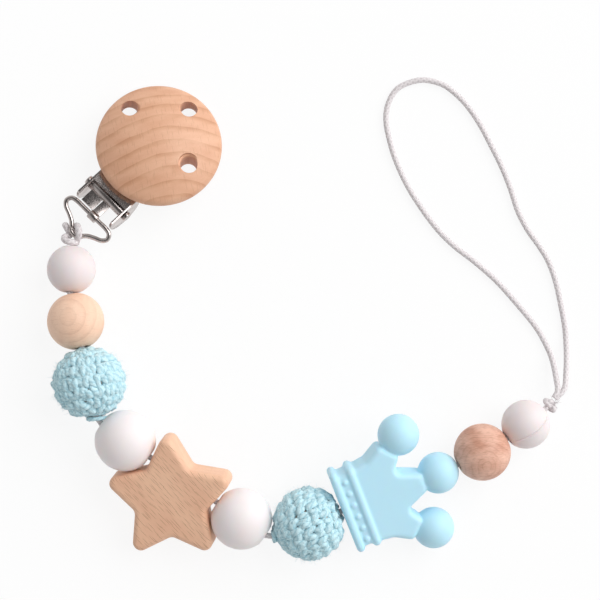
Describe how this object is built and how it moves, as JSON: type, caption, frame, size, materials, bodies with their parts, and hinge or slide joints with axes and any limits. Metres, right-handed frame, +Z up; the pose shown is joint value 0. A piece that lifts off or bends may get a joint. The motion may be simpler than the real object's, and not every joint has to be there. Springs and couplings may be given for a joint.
{
  "type": "pacifier clip",
  "caption": "Beaded pacifier holder: domed wooden disc with a hinged steel clamp and wire bail, cord strung with silicone, wooden and crocheted beads, a star and a crown, and a tying loop.",
  "frame": {"origin": "on the table, below the middle of the bounding box of everything but the loop of cord", "axes": "+Z up from the table, +X to the right and +Y away from the reader as pictured from above"},
  "size_m": [0.129, 0.1188, 0.0178],
  "materials": {
    "beech": "sanded and oiled",
    "red_beech": "sanded and oiled",
    "steel": "bright plated",
    "pad_plastic": "moulded matte",
    "cord": "braided",
    "pale_silicone": "moulded matte",
    "blue_silicone": "moulded matte",
    "blue_cotton": "crocheted"
  },
  "bodies": {
    "string": {"bead_cord": "cord", "clip_knot": "cord", "loop_knot": "cord", "cord_loop": "cord", "wire_bail": "steel"},
    "lever": {"lever": "steel", "jaw_pad": "pad_plastic"},
    "clip": {"wood_disc": "beech", "clip_body": "steel", "clip_screws": "steel", "lever_pin": "steel"},
    "silicone_bead_1": {"silicone_bead_1": "pale_silicone"},
    "wood_bead_1": {"wood_bead_1": "beech"},
    "crochet_1": {"crochet_core_1": "beech", "crochet_cover_1": "blue_cotton"},
    "silicone_bead_2": {"silicone_bead_2": "pale_silicone"},
    "star": {"wood_star": "beech"},
    "silicone_bead_3": {"silicone_bead_3": "pale_silicone"},
    "crochet_2": {"crochet_core_2": "beech", "crochet_cover_2": "blue_cotton"},
    "crown": {"crown": "blue_silicone"},
    "wood_bead_2": {"wood_bead_2": "red_beech"},
    "silicone_bead_4": {"silicone_bead_4": "pale_silicone"}
  },
  "joints": [
    {"name": "bail_hinge", "type": "hinge", "parent": "string", "child": "lever", "pos_m": [-0.05197, 0.02635, 0.00726], "axis": [0.7121, -0.689, 0.135], "range_deg": [-40, 90]},
    {"name": "jaw_hinge", "type": "hinge", "parent": "lever", "child": "clip", "pos_m": [-0.04793, 0.03026, 0.00586], "axis": [0.7121, -0.689, 0.135], "range_deg": [0, 50]},
    {"name": "silicone_bead_1_spin", "type": "hinge", "parent": "string", "child": "silicone_bead_1", "pos_m": [-0.05688, 0.01283, 0.00612], "axis": [-0.0691, -0.9879, 0.1392], "continuous": true},
    {"name": "wood_bead_1_spin", "type": "hinge", "parent": "string", "child": "wood_bead_1", "pos_m": [-0.05561, 0.00007, 0.00795], "axis": [0.2396, -0.9609, 0.1392], "continuous": true},
    {"name": "crochet_1_spin", "type": "hinge", "parent": "string", "child": "crochet_1", "pos_m": [-0.05216, -0.01502, 0.0089], "axis": [0.2079, -0.9781, 0], "continuous": true},
    {"name": "silicone_bead_2_spin", "type": "hinge", "parent": "string", "child": "silicone_bead_2", "pos_m": [-0.04337, -0.02906, 0.0089], "axis": [0.829, -0.5592, 0], "continuous": true},
    {"name": "star_spin", "type": "hinge", "parent": "string", "child": "star", "pos_m": [-0.02919, -0.03863, 0.0089], "axis": [0.829, -0.5592, 0], "continuous": true},
    {"name": "silicone_bead_3_spin", "type": "hinge", "parent": "string", "child": "silicone_bead_3", "pos_m": [-0.015, -0.0482, 0.0089], "axis": [0.829, -0.5592, 0], "continuous": true},
    {"name": "crochet_2_spin", "type": "hinge", "parent": "string", "child": "crochet_2", "pos_m": [0.00153, -0.04935, 0.0089], "axis": [0.9336, 0.3584, 0], "continuous": true},
    {"name": "crown_spin", "type": "hinge", "parent": "string", "child": "crown", "pos_m": [0.00959, -0.04625, 0.0089], "axis": [0.9301, 0.3664, -0.0262], "continuous": true},
    {"name": "wood_bead_2_spin", "type": "hinge", "parent": "string", "child": "wood_bead_2", "pos_m": [0.044, -0.032, 0.00751], "axis": [0.8876, 0.4523, -0.0872], "continuous": true},
    {"name": "silicone_bead_4_spin", "type": "hinge", "parent": "string", "child": "silicone_bead_4", "pos_m": [0.05479, -0.02523, 0.00639], "axis": [0.785, 0.6133, -0.0872], "continuous": true}
  ]
}
